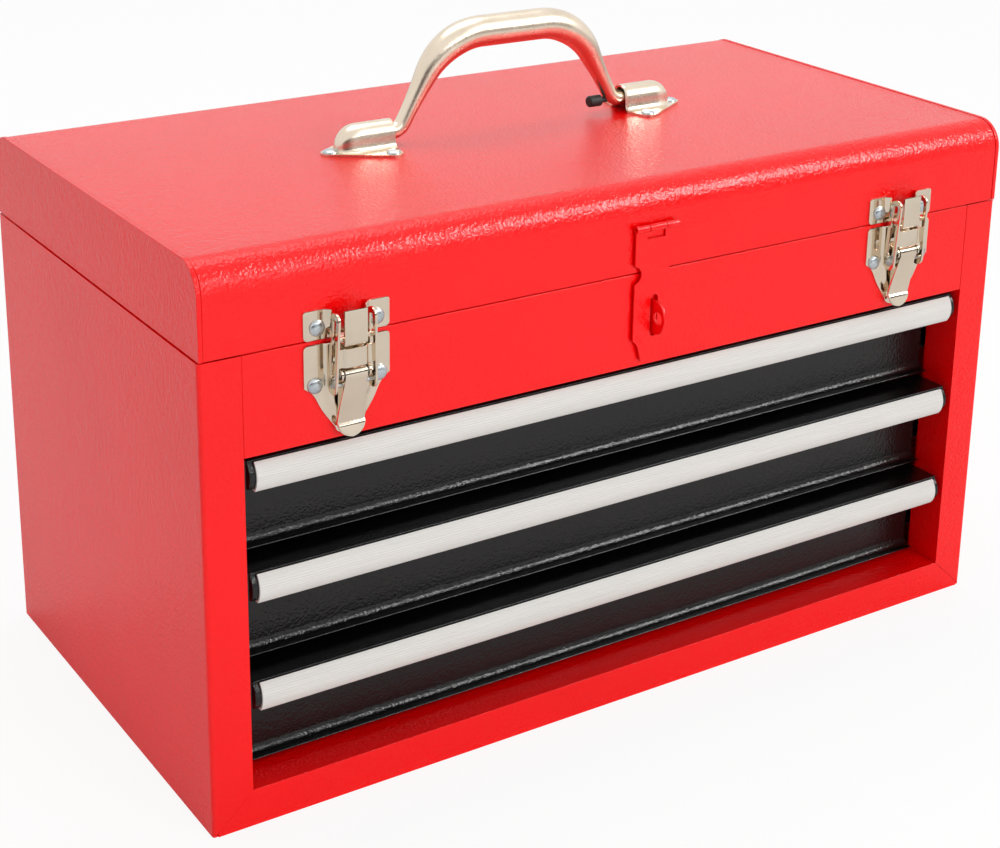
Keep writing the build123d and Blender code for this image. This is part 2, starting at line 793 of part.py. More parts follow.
def all_nodes():
    """Every named sub-part, in its place."""
    nodes = {}
    side = side_panel()
    nodes["side_panel_right"] = side
    nodes["side_panel_left"] = mirrored(side)
    nodes["bottom_panel"] = bottom_panel()
    nodes["front_panel"] = front_panel()
    nodes["back_panel"] = back_panel()
    nodes["till_floor"] = till_floor()

    cap = lid_end()
    nodes["lid_shell"] = lid_shell()
    nodes["lid_end_right"] = cap
    nodes["lid_end_left"] = mirrored(cap)

    nodes["hinge_leaf_body"] = hinge_leaf(0, -1)
    nodes["hinge_leaf_lid"] = hinge_leaf(1, 1)
    nodes["hinge_pin"] = hinge_pin()

    for index in range(drawer_count):
        name = f"drawer_{index + 1}"
        nodes[f"{name}_tray"] = drawer_tray(index)
        nodes[f"{name}_trim"] = drawer_trim(index)
        nodes[f"{name}_slides"] = drawer_slides(index)
        channel = runner(index)
        nodes[f"runner_right_{index + 1}"] = channel
        nodes[f"runner_left_{index + 1}"] = mirrored(channel)

    latch_parts = {
        "strike": strike(), "strike_rivets": strike_rivets(), "base": latch_base(),
        "base_rivets": base_rivets(), "lever_pin": lever_pin(), "lever": latch_lever(),
        "link_pin": link_pin(), "link": draw_link(),
    }
    for label, place in (("left", latch_inset - half), ("right", half - latch_inset)):
        for part, piece in latch_parts.items():
            nodes[f"latch_{part}_{label}"] = moved(piece, place, front, seam_height)

    for name, piece in (("leaf", hasp_leaf()), ("pin", hasp_pin()), ("plate", hasp_plate()),
                        ("staple", hasp_staple())):
        nodes[f"hasp_{name}"] = moved(piece, hasp_offset, front, seam_height)

    bracket = handle_bracket()
    bar = handle_bar()
    nodes["handle_bracket_right"] = moved(bracket, 0, 0, lid_top)
    nodes["handle_bracket_left"] = moved(mirrored(bracket), 0, 0, lid_top)
    nodes["handle_rivets"] = moved(handle_rivets(), 0, 0, lid_top)
    nodes["handle_bar"] = moved(bar, 0, 0, lid_top)
    nodes["handle_stop"] = moved(handle_stop(bar), 0, 0, lid_top)
    return nodes


def main():
    os.makedirs("parts", exist_ok=True)
    for name, piece in all_nodes().items():
        shape = Compound(children=piece) if isinstance(piece, list) else piece
        export_step(shape, f"parts/{name}.step")


main()
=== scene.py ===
import bpy
import bmesh
import math
from math import cos, pi, radians, sin
from mathutils import Matrix, Vector


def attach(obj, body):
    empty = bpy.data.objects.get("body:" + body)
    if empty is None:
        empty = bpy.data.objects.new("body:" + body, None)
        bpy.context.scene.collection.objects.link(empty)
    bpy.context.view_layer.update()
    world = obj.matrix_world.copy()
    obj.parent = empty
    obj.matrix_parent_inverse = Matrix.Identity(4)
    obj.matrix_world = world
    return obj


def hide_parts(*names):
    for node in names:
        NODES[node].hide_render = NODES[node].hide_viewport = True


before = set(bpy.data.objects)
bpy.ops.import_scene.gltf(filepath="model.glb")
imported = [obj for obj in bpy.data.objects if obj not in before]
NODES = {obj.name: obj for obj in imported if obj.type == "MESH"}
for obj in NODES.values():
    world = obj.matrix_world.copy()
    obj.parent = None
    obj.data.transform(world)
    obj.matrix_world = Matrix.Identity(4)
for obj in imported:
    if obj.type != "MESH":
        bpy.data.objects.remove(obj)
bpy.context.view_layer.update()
MM = 0.001

# ------------------------------------------------------------------ places, in millimetres

FRONT = -136.5          # Y of the case's front face
SEAM = 257.0            # Z where the lid meets the case
LID_TOP = 305.0         # Z of the lid's top
OPEN_HALF = 237.5       # half width of the drawers' opening
DRAWER_PITCH = 60.4
TRIM_TOPS = [200.0 - DRAWER_PITCH * i for i in range(3)]
LATCH_X = 181.5         # middle lines of the latches, either side of the middle
HASP_X = 4.0            # middle line of the hasp
SHEET = 1.2             # thickness of the latches' and the hasp's sheet


# ------------------------------------------------------------------ node materials

SATIN_FROM = 0.3        # metres: the handle and its brackets are above this, the latches below
SATIN_ROUGHER = 0.15


def cleared_tree(holder):
    """The emptied node tree of a material or a world."""
    holder.use_nodes = True
    holder.node_tree.nodes.clear()
    return holder.node_tree


class Mat:
    """A small wrapper that builds one node material."""

    def __init__(self, name):
        self.mat = bpy.data.materials.new(name)
        self.tree = cleared_tree(self.mat)
        self.out = self.tree.nodes.new("ShaderNodeOutputMaterial")
        self.coord = None

    def link(self, a, b):
        self.tree.links.new(a, b)

    def place(self, scale=(1, 1, 1)):
        """The object's own coordinates in metres, scaled."""
        if self.coord is None:
            self.coord = self.tree.nodes.new("ShaderNodeTexCoord")
        m = self.tree.nodes.new("ShaderNodeMapping")
        m.inputs["Scale"].default_value = scale
        self.link(self.coord.outputs["Object"], m.inputs["Vector"])
        return m.outputs["Vector"]

    def noise(self, scale, detail, rough=0.5, stretch=(1, 1, 1)):
        n = self.tree.nodes.new("ShaderNodeTexNoise")
        n.inputs["Scale"].default_value = scale
        n.inputs["Detail"].default_value = detail
        n.inputs["Roughness"].default_value = rough
        self.link(self.place(stretch), n.inputs["Vector"])
        return n.outputs["Fac"]

    def ramp(self, value, dark, light, ends=(0.3, 0.7)):
        """Goes from one colour to the other as the value goes between the ends."""
        r = self.tree.nodes.new("ShaderNodeValToRGB")
        for element, at, colour in zip(r.color_ramp.elements, ends, (dark, light)):
            element.position = at
            element.color = (*colour, 1.0)
        self.link(value, r.inputs["Fac"])
        return r.outputs["Color"]

    def span(self, value, low, high):
        m = self.tree.nodes.new("ShaderNodeMapRange")
        m.inputs["To Min"].default_value = low
        m.inputs["To Max"].default_value = high
        self.link(value, m.inputs["Value"])
        return m.outputs["Result"]

    def math(self, operation, a, b):
        """A Math node of a socket and of a socket or number."""
        m = self.tree.nodes.new("ShaderNodeMath")
        m.operation = operation
        self.link(a, m.inputs[0])
        if isinstance(b, float):
            m.inputs[1].default_value = b
        else:
            self.link(b, m.inputs[1])
        return m.outputs["Value"]

    def above(self, level):
        """1 where the piece is higher than the level at rest, and 0 elsewhere."""
        split = self.tree.nodes.new("ShaderNodeSeparateXYZ")
        self.link(self.place(), split.inputs["Vector"])
        return self.math("GREATER_THAN", split.outputs["Z"], level)

    def bump(self, height, distance, normal=None):
        b = self.tree.nodes.new("ShaderNodeBump")
        b.inputs["Strength"].default_value = 1.0
        b.inputs["Distance"].default_value = distance
        self.link(height, b.inputs["Height"])
        if normal is not None:
            self.link(normal, b.inputs["Normal"])
        return b.outputs["Normal"]

    def surface(self, colour, rough, normal, metal=0.0, specular=0.5):
        """Closes the material; the colour is a socket or, where it is even, three numbers."""
        p = self.tree.nodes.new("ShaderNodeBsdfPrincipled")
        p.inputs["Metallic"].default_value = metal
        p.inputs["Specular IOR Level"].default_value = specular
        if isinstance(colour, tuple):
            p.inputs["Base Color"].default_value = (*colour, 1.0)
        else:
            self.link(colour, p.inputs["Base Color"])
        self.link(rough, p.inputs["Roughness"])
        self.link(normal, p.inputs["Normal"])
        self.link(p.outputs["BSDF"], self.out.inputs["Surface"])
        return self.mat


def red_paint():
    """Gloss powder coat with orange peel: a fine pebble over a softer, wider swell."""
    m = Mat("red_powder_coat")
    colour = m.ramp(m.noise(9.0, 3.0), (0.83, 0.0006, 0.0012), (0.89, 0.0010, 0.0020))
    rough = m.span(m.noise(30.0, 4.0), 0.15, 0.22)
    swell = m.bump(m.noise(210.0, 2.0), 0.00024)
    pebble = m.bump(m.noise(580.0, 1.5), 0.00044, swell)
    return m.surface(colour, rough, pebble, specular=0.39)


def black_paint():
    """Semi-gloss black coat with a fine leather-like grain over a wider swell."""
    m = Mat("black_grained_coat")
    colour = m.ramp(m.noise(14.0, 3.0), (0.0020, 0.0018, 0.0018), (0.0034, 0.0030, 0.0030))
    rough = m.span(m.noise(40.0, 4.0), 0.18, 0.27)
    swell = m.bump(m.noise(300.0, 2.0), 0.00012)
    grain = m.bump(m.noise(720.0, 1.5), 0.0003, swell)
    return m.surface(colour, rough, grain, specular=0.46)


def trim_metal():
    """Satin light grey trim; the ribs are modelled, the grain runs along them."""
    m = Mat("satin_trim")
    grain = m.noise(900.0, 3.0, 0.6, stretch=(0.03, 1, 1))
    colour = m.ramp(grain, (0.59, 0.575, 0.545), (0.66, 0.64, 0.61), ends=(0.25, 0.75))
    rough = m.span(grain, 0.42, 0.55)
    return m.surface(colour, rough, m.bump(grain, 0.00002), specular=0.3)


def nickel():
    """Nickel plate, bright on the latches and satin on the handle and its brackets."""
    m = Mat("nickel_plate")
    colour = m.ramp(m.noise(60.0, 4.0), (0.72, 0.615, 0.485), (0.81, 0.70, 0.565))
    satin = m.math("MULTIPLY", m.above(SATIN_FROM), SATIN_ROUGHER)
    rough = m.math("ADD", m.span(m.noise(240.0, 5.0, 0.6), 0.08, 0.15), satin)
    return m.surface(colour, rough, m.bump(m.noise(300.0, 3.0), 0.00003), metal=1.0)


def zinc():
    """Bluish bright zinc on the rivets, the pins, the hinge and the slides."""
    m = Mat("zinc_plate")
    colour = m.ramp(m.noise(120.0, 4.0), (0.47, 0.51, 0.54), (0.60, 0.65, 0.68))
    rough = m.span(m.noise(420.0, 4.0), 0.2, 0.34)
    return m.surface(colour, rough, m.bump(m.noise(520.0, 3.0), 0.00003), metal=1.0)


def rubber():
    """Moulded black rubber."""
    m = Mat("moulded_rubber")
    rough = m.span(m.noise(300.0, 3.0), 0.5, 0.68)
    return m.surface((0.010, 0.010, 0.010), rough, m.bump(m.noise(900.0, 3.0), 0.00004))


FINISH = {"red_paint": red_paint(), "black_paint": black_paint(), "trim_metal": trim_metal(),
          "nickel_plate": nickel(), "zinc": zinc(), "black_rubber": rubber()}


# ------------------------------------------------------------------ mesh helpers

SAME_POINT = 1e-6       # metres: corners nearer than this become one
EDGE_ANGLE = 28.0       # degrees: sharper edges of the CAD sheets are rounded
CRISP_ANGLE = 32.0      # degrees: sharper edges of a smooth piece stay crisp


def add_object(name, data):
    obj = bpy.data.objects.new(name, data)
    bpy.context.scene.collection.objects.link(obj)
    return obj


def finish_piece(obj, node, body, slot):
    """Gives a piece its finish and its body, in place of a CAD node."""
    obj.data.materials.clear()
    obj.data.materials.append(FINISH[slot])
    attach(obj, body)
    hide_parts(node)


def weigh_normals(obj, keep_sharp, weight):
    """Keeps the flat faces flat in the shading, next to rounded edges."""
    w = obj.modifiers.new("normals", "WEIGHTED_NORMAL")
    w.keep_sharp = keep_sharp
    w.weight = weight


def round_edges(obj, width, segments=2, angle=EDGE_ANGLE):
    """Small rounded edges, with the flat faces kept flat."""
    for poly in obj.data.polygons:
        poly.use_smooth = True
    b = obj.modifiers.new("edges", "BEVEL")
    b.width = width * MM
    b.segments = segments
    b.limit_method = "ANGLE"
    b.angle_limit = radians(angle)
    b.miter_outer = "MITER_ARC"
    b.use_clamp_overlap = True
    weigh_normals(obj, False, 60)


def shade(obj, angle):
    """Smooth faces, with edges sharper than the angle kept crisp and flat faces kept flat."""
    bm = bmesh.new()
    bm.from_mesh(obj.data)
    limit = radians(angle)
    for face in bm.faces:
        face.smooth = True
    for edge in bm.edges:
        edge.smooth = len(edge.link_faces) == 2 and edge.calc_face_angle(0.0) < limit
    bm.to_mesh(obj.data)
    bm.free()
    weigh_normals(obj, True, 80)


def from_cad(node):
    """A clean copy of a CAD node's mesh, with its flat faces merged."""
    mesh = NODES[node].data.copy()
    bm = bmesh.new()
    bm.from_mesh(mesh)
    bmesh.ops.remove_doubles(bm, verts=bm.verts, dist=SAME_POINT)
    bmesh.ops.dissolve_limit(bm, angle_limit=radians(0.4), verts=bm.verts, edges=bm.edges)
    bm.to_mesh(mesh)
    bm.free()
    for layer in list(mesh.uv_layers):
        mesh.uv_layers.remove(layer)
    return mesh


def soften(node, body, slot, width, segments=2):
    """The CAD sheet with rounded edges, in place of the CAD node."""
    obj = add_object("v_" + node, from_cad(node))
    round_edges(obj, width, segments)
    finish_piece(obj, node, body, slot)


def new_mesh(bm, name):
    """Writes a bmesh as a new mesh, and frees it."""
    mesh = bpy.data.meshes.new(name)
    bm.to_mesh(mesh)
    bm.free()
    return mesh


def skin(name, rings):
    """One closed surface over a row of equal closed rings of points, in millimetres."""
    bm = bmesh.new()
    rows = [[bm.verts.new([c * MM for c in p]) for p in ring] for ring in rings]
    count = len(rings[0])
    for a, b in zip(rows, rows[1:]):
        for i in range(count):
            j = (i + 1) % count
            bm.faces.new((a[i], a[j], b[j], b[i]))
    bm.faces.new(rows[0])
    bm.faces.new(rows[-1])
    bmesh.ops.remove_doubles(bm, verts=bm.verts, dist=SAME_POINT)
    bmesh.ops.recalc_face_normals(bm, faces=bm.faces)
    return new_mesh(bm, name)


def lathe(name, profile, steps, place):
    """Turns a profile of (radius, height) round an axis; place maps (u, v, height) to the
    object."""
    turns = [2 * pi * i / steps for i in range(steps)]
    return skin(name, [[place(radius * cos(a), radius * sin(a), height) for a in turns]
                       for radius, height in profile])


def flat(name, outline, thick, bevel, place, holes=(), cuts=()):
    """A plate with rounded edges, drawn as (u, v), that place maps into the object. The cuts
    are lines of constant u or v, where place bends the plate."""
    curve = bpy.data.curves.new(name, "CURVE")
    curve.dimensions = "2D"
    curve.fill_mode = "BOTH"
    for loop in (outline, *holes):
        spline = curve.splines.new("POLY")
        spline.points.add(len(loop) - 1)
        for point, (u, v) in zip(spline.points, loop):
            point.co = (u, v, 0.0, 1.0)
        spline.use_cyclic_u = True
    curve.extrude = thick / 2 - bevel
    curve.bevel_depth = bevel
    curve.bevel_resolution = 1
    curve.offset = -bevel
    holder = bpy.data.objects.new(name, curve)
    raw = bpy.data.meshes.new_from_object(holder)
    bpy.data.objects.remove(holder)
    bpy.data.curves.remove(curve)
    bm = bmesh.new()
    bm.from_mesh(raw)
    bpy.data.meshes.remove(raw)
    bmesh.ops.remove_doubles(bm, verts=bm.verts, dist=SAME_POINT / MM)
    bmesh.ops.dissolve_limit(bm, angle_limit=radians(1.0), verts=bm.verts, edges=bm.edges)
    for axis, value in cuts:
        across = Vector((1, 0, 0)) if axis == "u" else Vector((0, 1, 0))
        bmesh.ops.bisect_plane(bm, geom=bm.verts[:] + bm.edges[:] + bm.faces[:],
                               plane_co=across * value, plane_no=across, dist=1e-4)
    for v in bm.verts:
        v.co = Vector(place(v.co.x, v.co.y, v.co.z + thick / 2)) * MM
    bmesh.ops.recalc_face_normals(bm, faces=bm.faces)
    return new_mesh(bm, name)


def band(name, path, widths, depths, corner):
    """A pressed strip that follows a path of (y, z): a flat back, or side flanges where depth
    is more than the sheet. It lies across X; depth goes to the left of the path's direction."""
    rings = []
    count = len(path)
    for i, (y, z) in enumerate(path):
        before, after = Vector(path[max(i - 1, 0)]), Vector(path[min(i + 1, count - 1)])
        t = (after - before).normalized()
        n = Vector((-t.y, t.x))
        w = widths[i] / 2
        d = max(depths[i], SHEET)
        c = min(corner, w * 0.6)
        outer = [(-w, d), (-w, c), (-w + 0.3 * c, 0.3 * c), (-w + c, 0.0),
                 (w - c, 0.0), (w - 0.3 * c, 0.3 * c), (w, c), (w, d)]
        k = max(w - SHEET, w * 0.3)
        inner = [(k, d), (k, SHEET), (-k, SHEET), (-k, d)]
        rings.append([(u, y + n.x * e, z + n.y * e) for u, e in outer + inner])
    return skin(name, rings)


def even_band(name, path, width, corner):
    """A flat strip of one width that follows a path."""
    return band(name, path, [width] * len(path), [SHEET] * len(path), corner)


def joined(name, meshes):
    """Several meshes as one."""
    bm = bmesh.new()
    for mesh in meshes:
        bm.from_mesh(mesh)
        bpy.data.meshes.remove(mesh)
    return new_mesh(bm, name)


def piece(node, meshes, body, slot, edge=0.0, angle=CRISP_ANGLE):
    """Joins meshes into one piece in place of a CAD node. Edges sharper than the angle are
    rounded where edge is given, and otherwise stay crisp."""
    obj = add_object("v_" + node, joined("v_" + node, meshes))
    if edge:
        round_edges(obj, edge, angle=angle)
    else:
        shade(obj, angle)
    finish_piece(obj, node, body, slot)


# ------------------------------------------------------------------ lines and outlines


def ease(t):
    """Goes smoothly from 0 to 1, and stays there outside that range."""
    t = min(max(t, 0.0), 1.0)
    return t * t * (3 - 2 * t)


def rounded(points, radius, steps=4):
    """A closed outline with rounded corners; radius is one number or one for each corner."""
    out = []
    count = len(points)
    for i in range(count):
        r = radius[i] if isinstance(radius, list) else radius
        p = Vector(points[i])
        a = Vector(points[i - 1]) - p
        b = Vector(points[(i + 1) % count]) - p
        if r <= 0:
            out.append(tuple(p))
            continue
        half = a.angle(b) / 2
        reach = min(r / math.tan(half), a.length * 0.49, b.length * 0.49)
        r = reach * math.tan(half)
        start, end = p + a.normalized() * reach, p + b.normalized() * reach
        centre = p + (a.normalized() + b.normalized()).normalized() * (r / sin(half))
        for k in range(steps + 1):
            t = k / steps
            v = (start - centre) * (1 - t) + (end - centre) * t
            out.append(tuple(centre + v.normalized() * r))
    return out


def stadium(u, v0, v1, radius, steps=8):
    """A slot with round ends, along v."""
    turns = [pi * k / steps for k in range(steps + 1)]
    top = [(u + radius * cos(a), v1 - radius + radius * sin(a)) for a in turns]
    low = [(u - radius * cos(a), v0 + radius - radius * sin(a)) for a in turns]
    return top + low


def circle(u, v, radius, steps):
    turns = [2 * pi * k / steps for k in range(steps)]
    return [(u + radius * cos(a), v + radius * sin(a)) for a in turns]


def smooth_line(points, steps):
    """A Catmull-Rom line through the points."""
    out = []
    for i in range(len(points) - 1):
        p0 = Vector(points[max(i - 1, 0)])
        p1, p2 = Vector(points[i]), Vector(points[i + 1])
        p3 = Vector(points[min(i + 2, len(points) - 1)])
        for k in range(steps):
            t = k / steps
            out.append(tuple(0.5 * ((2 * p1) + (p2 - p0) * t
                                    + (2 * p0 - 5 * p1 + 4 * p2 - p3) * t * t
                                    + (3 * p1 - p0 - 3 * p2 + p3) * t ** 3)))
    out.append(tuple(points[-1]))
    return out


def mirrored(line):
    """A line on the other side of the middle, run the other way."""
    return [(-x, z) for x, z in reversed(line)]


# ------------------------------------------------------------------ camera, light and stage

LENS, SENSOR, SHIFT_Y = 71.50, 36.0, -0.2
EYE = Vector((-0.6088, -0.9330, 0.6042))
FORWARD = Vector((0.5172, 0.7992, -0.3062)).normalized()
RIGHT = Vector((0.8418, -0.5396, 0.0134))

FLOOR_HALF = 14.0
FLOOR_GLOW = 0.88                   # the share of plain white that the camera sees in the floor
FLOOR_PALE, FLOOR_IN_GLOSS = 0.9, 0.72
WORLD_WHITE, WORLD_LIGHT = 1.0, 0.70

# Area lights: place, target, size, watts.
KEY_LIGHT = ((0.5, -3.0, 1.1), (0, -0.1, 0.15), (1.8, 1.2), 40.0)
TOP_LIGHT = ((0.2, 0.6, 2.6), (0, 0.0, 0.3), (1.8, 1.4), 21.0)
GLINT_LIGHT = ((1.08, -1.15, 1.3), (0, -0.1, 0.25), (0.65, 0.62), 17.0)

FLAG_X, FLAG_Y, FLAG_Z = (-2.6, 1.9), -1.9, (0.25, 1.05)


def camera():
    """The camera at the photograph's viewing angle."""
    data = bpy.data.cameras.new("camera")
    obj = add_object("camera", data)
    data.sensor_width = SENSOR
    data.lens = LENS
    data.shift_y = SHIFT_Y
    right = (RIGHT - FORWARD * RIGHT.dot(FORWARD)).normalized()
    up = right.cross(FORWARD)
    turn = Matrix((right, up, -FORWARD)).transposed()
    obj.matrix_world = Matrix.Translation(EYE) @ turn.to_4x4()
    data.clip_start = 0.05
    data.clip_end = 50.0
    bpy.context.scene.camera = obj


def area_light(name, place, target, size, power):
    data = bpy.data.lights.new(name, "AREA")
    data.shape = "RECTANGLE"
    data.size, data.size_y = size
    data.energy = power
    obj = add_object(name, data)
    obj.location = place
    obj.rotation_mode = "QUATERNION"
    obj.rotation_quaternion = (Vector(target) - Vector(place)).to_track_quat("-Z", "Y")
    return obj


def ray_mix(tree, ray, value, other):
    """A level that is one number for a kind of ray, and a number or socket for the rest."""
    mix = tree.nodes.new("ShaderNodeMix")
    mix.data_type = "FLOAT"
    tree.links.new(ray, mix.inputs["Factor"])
    mix.inputs["B"].default_value = value
    if isinstance(other, float):
        mix.inputs["A"].default_value = other
    else:
        tree.links.new(other, mix.inputs["A"])
    return mix.outputs["Result"]


def stage_quad(name, corners, mat):
    """One face of the stage, which isn't part of the object."""
    mesh = bpy.data.meshes.new(name)
    mesh.from_pydata(corners, [], [(0, 1, 2, 3)])
    mesh.materials.append(mat)
    obj = add_object(name, mesh)
    return obj


def floor():
    """A pale floor that shows nearly white to the camera, and keeps the object's shadow."""
    mat = bpy.data.materials.new("floor_white")
    t = cleared_tree(mat)
    out = t.nodes.new("ShaderNodeOutputMaterial")
    diffuse = t.nodes.new("ShaderNodeBsdfDiffuse")
    glow = t.nodes.new("ShaderNodeEmission")
    glow.inputs["Strength"].default_value = 1.0
    path = t.nodes.new("ShaderNodeLightPath")
    share = ray_mix(t, path.outputs["Is Camera Ray"], FLOOR_GLOW, 0.0)
    pale = ray_mix(t, path.outputs["Is Glossy Ray"], FLOOR_IN_GLOSS, FLOOR_PALE)
    t.links.new(pale, diffuse.inputs["Color"])
    mix = t.nodes.new("ShaderNodeMixShader")
    t.links.new(share, mix.inputs[0])
    t.links.new(diffuse.outputs[0], mix.inputs[1])
    t.links.new(glow.outputs[0], mix.inputs[2])
    t.links.new(mix.outputs[0], out.inputs["Surface"])
    s = FLOOR_HALF
    stage_quad("floor", [(-s, -s, 0), (s, -s, 0), (s, s, 0), (-s, s, 0)], mat)


def studio():
    """A world that is white to the camera and to gloss, and lights the object a little less."""
    world = bpy.data.worlds.new("studio")
    bpy.context.scene.world = world
    t = cleared_tree(world)
    out = t.nodes.new("ShaderNodeOutputWorld")
    sky = t.nodes.new("ShaderNodeBackground")
    sky.inputs["Color"].default_value = (1, 1, 1, 1)
    path = t.nodes.new("ShaderNodeLightPath")
    unseen = ray_mix(t, path.outputs["Is Glossy Ray"], WORLD_WHITE, WORLD_LIGHT)
    strength = ray_mix(t, path.outputs["Is Camera Ray"], WORLD_WHITE, unseen)
    t.links.new(strength, sky.inputs["Strength"])
    t.links.new(sky.outputs[0], out.inputs["Surface"])


def flag():
    """A long black studio flag beyond the lens, seen only by reflections."""
    mat = bpy.data.materials.new("flag_black")
    t = cleared_tree(mat)
    out = t.nodes.new("ShaderNodeOutputMaterial")
    black = t.nodes.new("ShaderNodeBsdfDiffuse")
    black.inputs["Color"].default_value = (0.01, 0.01, 0.01, 1.0)
    t.links.new(black.outputs[0], out.inputs["Surface"])
    (x0, x1), y, (z0, z1) = FLAG_X, FLAG_Y, FLAG_Z
    obj = stage_quad("flag", [(x0, y, z0), (x1, y, z0), (x1, y, z1), (x0, y, z1)], mat)
    for kind in ("camera", "diffuse", "transmission", "volume_scatter", "shadow"):
        setattr(obj, "visible_" + kind, False)


camera()
floor()
studio()
bpy.context.scene.view_settings.view_transform = "Standard"
area_light("key", *KEY_LIGHT)
area_light("top", *TOP_LIGHT)
area_light("glint", *GLINT_LIGHT).visible_diffuse = False       # only for gloss on the bends
flag()


# ------------------------------------------------------------------ sheet panels

for side in ("left", "right"):
    soften(f"side_panel_{side}", "case", "red_paint", 0.9, 3)
    soften(f"lid_end_{side}", "lid", "red_paint", 0.35)
soften("bottom_panel", "case", "red_paint", 0.9, 3)
soften("front_panel", "case", "red_paint", 0.5)
soften("back_panel", "case", "red_paint", 0.4)
soften("till_floor", "case", "red_paint", 0.4)
soften("lid_shell", "lid", "red_paint", 0.35)

soften("hinge_leaf_body", "case", "zinc", 0.2, 1)
soften("hinge_leaf_lid", "lid", "zinc", 0.2, 1)
soften("hinge_pin", "case", "zinc", 0.2, 1)

for i in (1, 2, 3):
    soften(f"drawer_{i}_tray", f"drawer_{i}", "black_paint", 0.4)
    soften(f"drawer_{i}_slides", f"drawer_{i}", "zinc", 0.25, 1)
    for side in ("left", "right"):
        soften(f"runner_{side}_{i}", "case", "zinc", 0.25, 1)

# ------------------------------------------------------------------ drawer trims

TRIM_HEIGHT, TRIM_CROWN, TRIM_WALL, TRIM_RETURN, TRIM_PROUD = 15.8, 3.2, 1.1, 2.6, 0.6
TRIM_END = OPEN_HALF - 6.5
RIBS, RIB_STEPS, RIB_DEPTH = 13, 6, 0.09
INNER_STEPS, INNER_REACH = 12, 0.93


def trim(i):
    """The ribbed crown of a drawer's trim, with its two returns behind."""
    top = TRIM_TOPS[i - 1]
    low = top - TRIM_HEIGHT
    middle = (top + low) / 2
    edge = FRONT - TRIM_PROUD + TRIM_CROWN
    bow = ((TRIM_HEIGHT / 2) ** 2 + TRIM_CROWN ** 2) / (2 * TRIM_CROWN)
    centre = edge - TRIM_CROWN + bow
    full = math.asin(TRIM_HEIGHT / 2 / bow)
    ring = []
    steps = RIBS * RIB_STEPS
    for k in range(steps + 1):
        t = k / steps
        a = full * (1 - 2 * t)
        fade = min(1.0, 12 * t, 12 * (1 - t))       # the ribs fade out at the two edges
        r = bow - RIB_DEPTH * fade * (0.5 - 0.5 * cos(2 * pi * t * RIBS))
        ring.append((centre - r * cos(a), middle + r * sin(a)))
    back = edge + TRIM_RETURN
    ring += [(back, low), (back, low + TRIM_WALL)]
    for k in range(INNER_STEPS + 1):
        a = full * INNER_REACH * (2 * k / INNER_STEPS - 1)
        ring.append((centre - (bow - TRIM_WALL) * cos(a), middle + (bow - TRIM_WALL) * sin(a)))
    ring.append((edge + TRIM_WALL * 0.3, top))
    rings = [[(x, y, z) for y, z in ring] for x in (-TRIM_END, TRIM_END)]
    piece(f"drawer_{i}_trim", [skin("trim", rings)], f"drawer_{i}", "trim_metal", angle=40.0)


for i in (1, 2, 3):
    trim(i)

# ------------------------------------------------------------------ latches
# X is from the latch's middle line, Y from the case's front face, Z from the seam.

PLATE_HALF = 23.8               # half width of keeper and base
PLATE_BEVEL = 0.45
LEVER_PIN = (-7.8, -17.0)       # (y, z)
LINK_PIN = (-6.6, -22.6)
PIVOT_R = 3.2                   # of the base's lugs and of the lever's curl
LEVER_BEND, LEVER_TIP = -43.5, -51.1
LEVER_WIDTH = 12.4
LINK_TOP = 15.5
LINK_LEAN, LINK_NARROW = 1.9, 1.1


def moved_mesh(mesh, cx):
    """A mesh taken from the front face and the seam to its place in the object."""
    for v in mesh.vertices:
        v.co += Vector((cx, FRONT, SEAM)) * MM
    return mesh


def strike_meshes():
    """Keeper: two ears whose inner edges turn up, the strip below them, and the J-shaped hook."""
    w, inner, top, low, strip = PLATE_HALF, 9.1, 16.0, 0.6, 4.6
    line = [(-w, low), (w, low), (w, top), (inner, top), (inner, strip),
            (-inner, strip), (-inner, top), (-w, top)]
    outline = rounded(line, [2.5, 2.5, 1.6, 1.2, 1.5, 1.5, 1.2, 1.6])
    turn_from, turn_width, turn_rise = 13.2, 4.1, 2.3

    def place(u, v, n):
        turn = ease((turn_from - abs(u)) / turn_width) * ease((v - strip - 0.5) / 3.0)
        return (u, -n - turn_rise * turn, v)

    cuts = [("u", s * x) for s in (-1, 1) for x in (13.2, 12.4, 11.6, 10.8, 10.0)]
    cuts += [("v", z) for z in (4.8, 5.6, 6.6, 7.8)]
    ears = flat("ears", outline, SHEET, PLATE_BEVEL, place, cuts=cuts)

    reach, r, foot, top, proud = 10.4, 2.4, -2.6, 16.5, 0.6
    path = [(-0.6, 1.2), (-2.4, 0.2), (-reach + r + 1.4, foot + 0.4)]
    for k in range(7):
        a = radians(100 + 80 * k / 6)
        path.append((-reach + r + r * cos(a), foot + r - r * sin(a)))
    path += [(-reach, 6.0), (-reach, top - 0.6), (-reach + 0.25, top)]
    path = [(y - proud, z) for y, z in reversed(path)]
    return [ears, even_band("hook", path, 12.6, 0.35)]


def base_outline():
    """The base's shield shape: a broad head, hollow sides and a round toe."""
    w, foot, drop, shoulder, length = PLATE_HALF, 7.0, 1.5, 23.5, 51.0
    toe_z, toe_depth = -length + foot * 0.6, foot * 0.6
    right = smooth_line([(w, -shoulder), (w - (w - foot) * 0.30, -shoulder - 4.4),
                         (w - (w - foot) * 0.58, -shoulder - 13.2), (foot, toe_z)], 7)
    turns = [pi * k / 12 for k in range(1, 12)]
    toe = [(foot * cos(a), toe_z - toe_depth * sin(a)) for a in turns]
    head = rounded([(-w, -shoulder), (-w, -drop), (w, -drop), (w, -shoulder)], [0, 2.5, 2.5, 0])
    return right[1:] + toe + mirrored(right)[:-1] + head[:-1] + [(w, -shoulder)]


